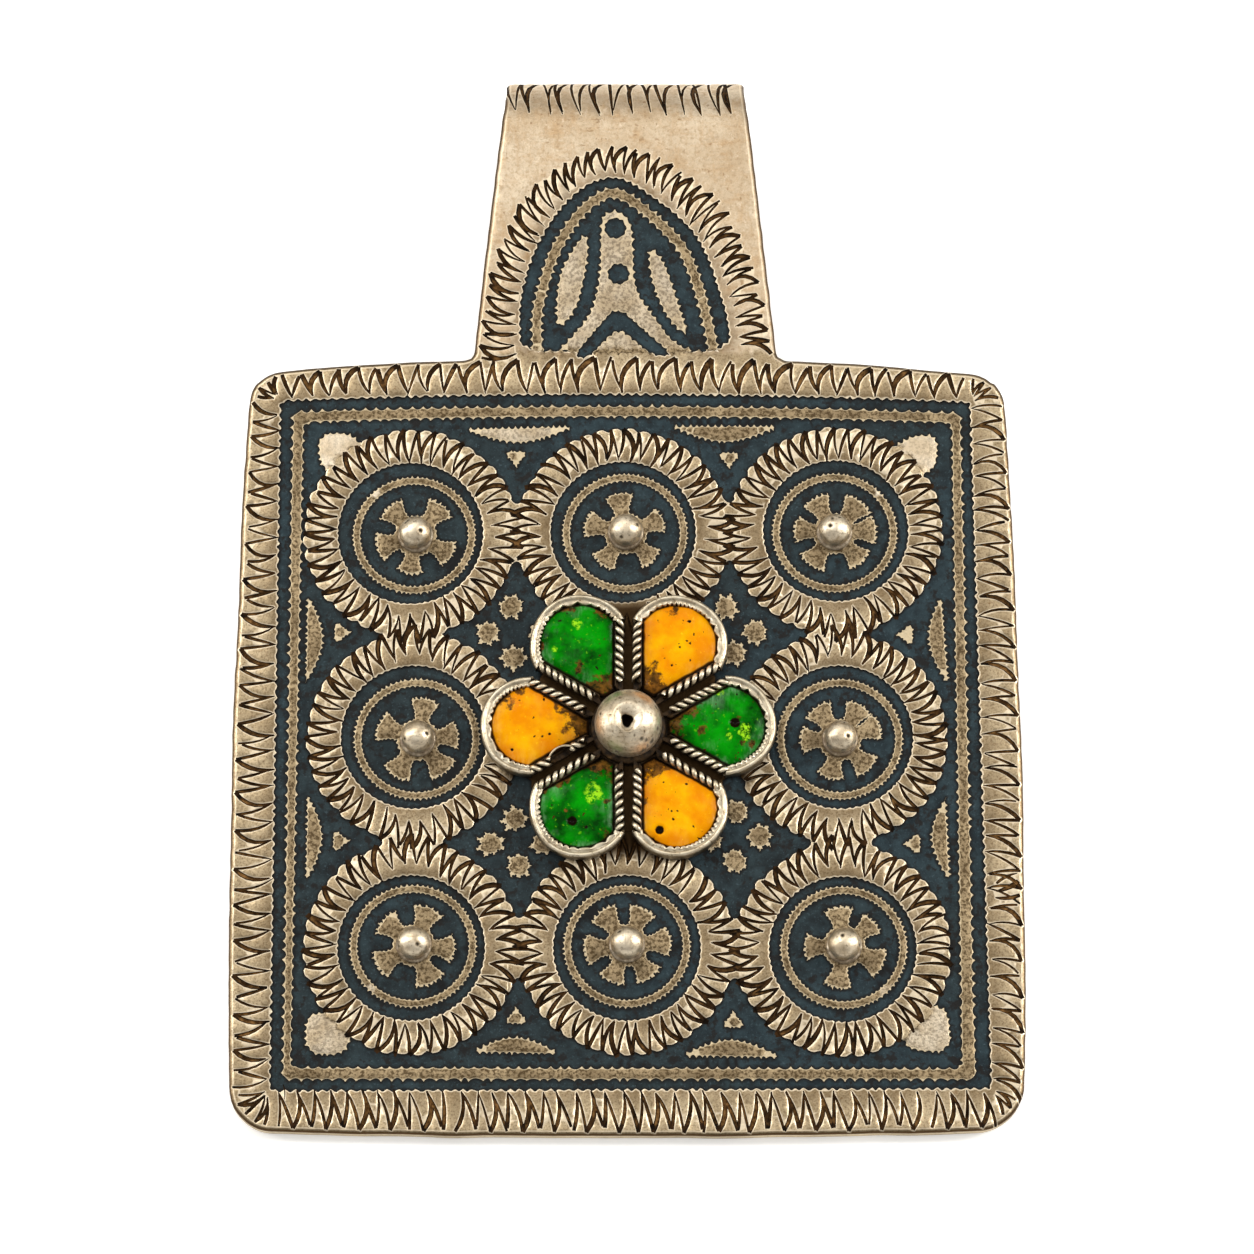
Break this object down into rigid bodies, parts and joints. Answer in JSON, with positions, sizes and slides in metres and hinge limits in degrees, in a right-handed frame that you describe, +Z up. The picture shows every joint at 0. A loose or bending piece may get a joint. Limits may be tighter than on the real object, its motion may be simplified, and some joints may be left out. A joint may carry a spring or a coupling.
{
  "type": "enamel pendant",
  "caption": "Square silver pendant with niello medallion rings, an enamelled flower on the middle one, and a broad strap folded over into a loop bail.",
  "frame": {"origin": "middle of the bounding box's bottom, on the surface that the pendant lies on, on its back", "axes": "+Y up the pendant toward the bail, +Z up out of the front, +X to the right seen from the front"},
  "size_m": [0.061, 0.0854, 0.011],
  "materials": {
    "silver": "worn warm silver",
    "bright_silver": "polished by wear",
    "niello": "matte blue grey",
    "green_enamel": "opaque, glossy",
    "yellow_enamel": "opaque, glossy"
  },
  "bodies": {
    "root": {"plate_and_bail": "silver", "niello_border_line": "niello", "niello_field": "niello", "niello_bail_arch": "niello", "niello_medallion_1": "niello", "niello_medallion_2": "niello", "niello_medallion_3": "niello", "niello_medallion_4": "niello", "niello_medallion_5": "niello", "niello_medallion_6": "niello", "niello_medallion_7": "niello", "niello_medallion_8": "niello", "stud_1": "bright_silver", "stud_2": "bright_silver", "stud_3": "bright_silver", "stud_4": "bright_silver", "stud_5": "bright_silver", "stud_6": "bright_silver", "stud_7": "bright_silver", "stud_8": "bright_silver", "rosette_frame": "silver", "enamel_petal_1": "green_enamel", "enamel_petal_2": "yellow_enamel", "enamel_petal_3": "green_enamel", "enamel_petal_4": "yellow_enamel", "enamel_petal_5": "green_enamel", "enamel_petal_6": "yellow_enamel", "centre_boss": "bright_silver"}
  },
  "joints": []
}
